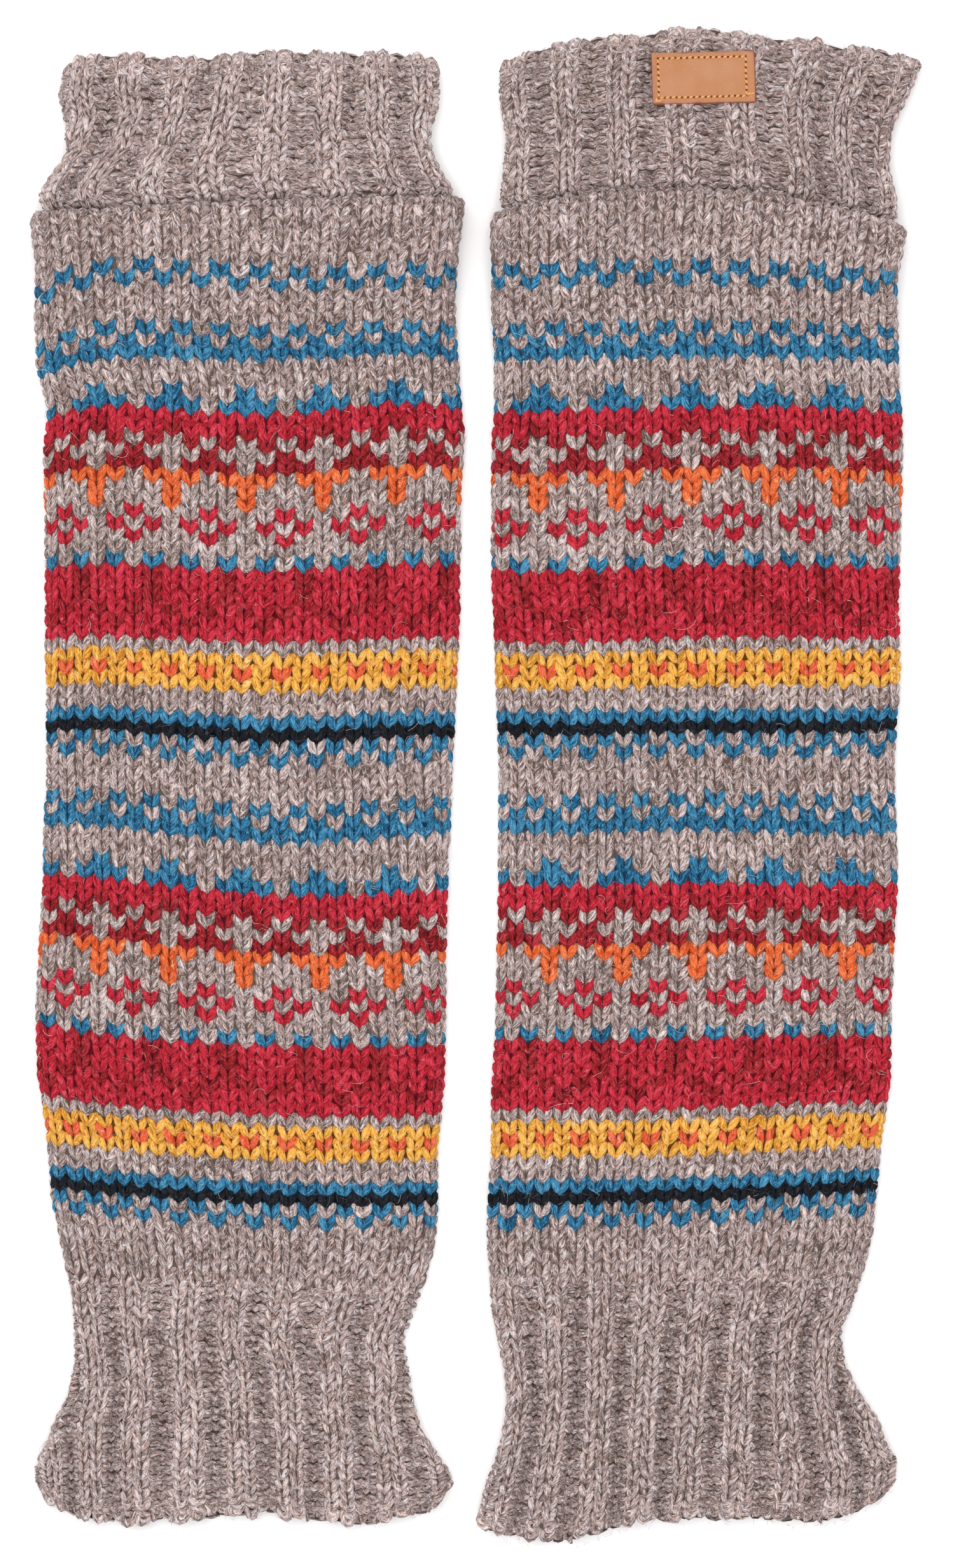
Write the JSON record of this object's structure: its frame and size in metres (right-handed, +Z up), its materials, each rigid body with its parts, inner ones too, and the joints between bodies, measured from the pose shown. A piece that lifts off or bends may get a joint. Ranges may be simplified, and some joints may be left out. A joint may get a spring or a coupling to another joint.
{
  "type": "pair of leg warmers",
  "caption": "Pair of knitted wool leg warmers laid flat, with stranded colour bands, ribbed cuffs and a plain leather label.",
  "frame": {"origin": "middle of the ground that the pair covers, on the surface it lies on", "axes": "+X to the right across the pair, +Y from the bottom cuffs to the top cuffs, +Z up out of the surface"},
  "size_m": [0.3142, 0.536, 0.0194],
  "materials": {
    "wool": "heather grey-brown wool, hand knitted, with colour bands",
    "leather": "smooth tan, stitched border"
  },
  "bodies": {
    "root": {"left_body": "wool", "left_top_rib": "wool", "left_bottom_rib": "wool", "right_body": "wool", "right_top_rib": "wool", "right_bottom_rib": "wool", "label": "leather"}
  },
  "joints": []
}
